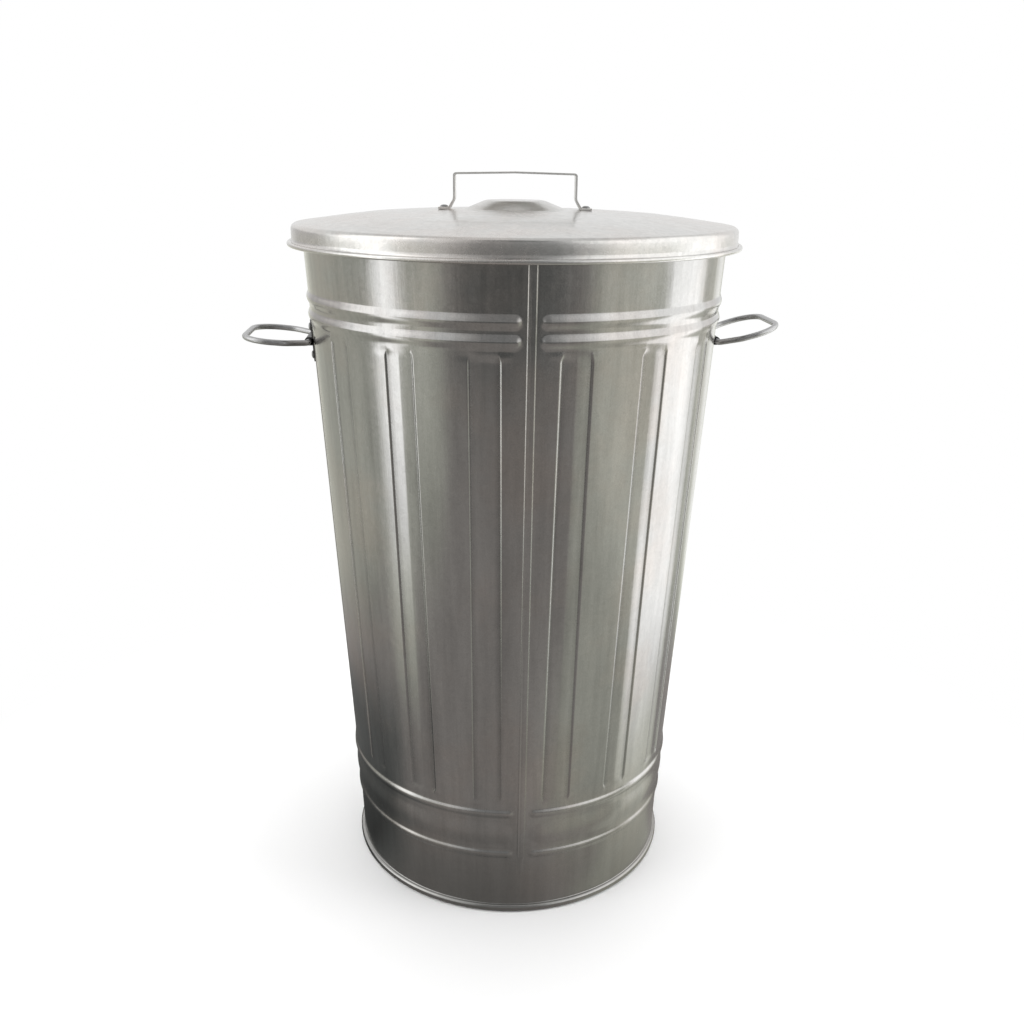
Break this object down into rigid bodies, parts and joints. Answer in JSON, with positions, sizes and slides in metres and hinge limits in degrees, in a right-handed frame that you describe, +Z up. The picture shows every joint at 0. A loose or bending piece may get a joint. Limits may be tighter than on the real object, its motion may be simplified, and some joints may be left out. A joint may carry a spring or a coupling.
{
  "type": "galvanized bin with lid",
  "caption": "Tapered galvanized sheet bin with pressed flutes and beads, swinging wire side handles and a loose crowned lid with a strip handle.",
  "frame": {"origin": "centre of the ring that the bin stands on, on the floor plane", "axes": "+Z up; the lock seam of the wall is at -Y, and the two wire side handles are at -X and +X"},
  "size_m": [0.5423, 0.4498, 0.7391],
  "materials": {
    "can_sheet": "hot-dip galvanized",
    "rim_wire": "zinc plated",
    "pan_sheet": "hot-dip galvanized",
    "lid_sheet": "hot-dip galvanized",
    "lid_strip": "zinc plated",
    "rivet": "zinc plated",
    "washer": "zinc plated",
    "loop_wire": "zinc plated",
    "strap": "zinc plated"
  },
  "bodies": {
    "can": {"can_wall": "can_sheet", "rim_wire": "rim_wire", "bottom_pan": "pan_sheet", "left_bracket": "strap", "right_bracket": "strap", "left_bracket_rivets": "rivet", "right_bracket_rivets": "rivet", "left_rivet_washers": "washer", "right_rivet_washers": "washer"},
    "lid": {"lid_shell": "lid_sheet", "lid_handle": "lid_strip", "lid_handle_rivets": "rivet", "lid_rivet_washers": "washer"},
    "left_handle": {"left_handle": "loop_wire"},
    "right_handle": {"right_handle": "loop_wire"}
  },
  "joints": [
    {"name": "lid_lift", "type": "slide", "parent": "can", "child": "lid", "axis": [0, 0, 1], "range_m": [0, 0.2]},
    {"name": "left_handle_pivot", "type": "hinge", "parent": "can", "child": "left_handle", "pos_m": [-0.20721, 0, 0.5755], "axis": [0, 1, 0], "range_deg": [-95.5, 79.5]},
    {"name": "right_handle_pivot", "type": "hinge", "parent": "can", "child": "right_handle", "pos_m": [0.20721, 0, 0.5755], "axis": [0, -1, 0], "range_deg": [-106.5, 68.5]}
  ]
}
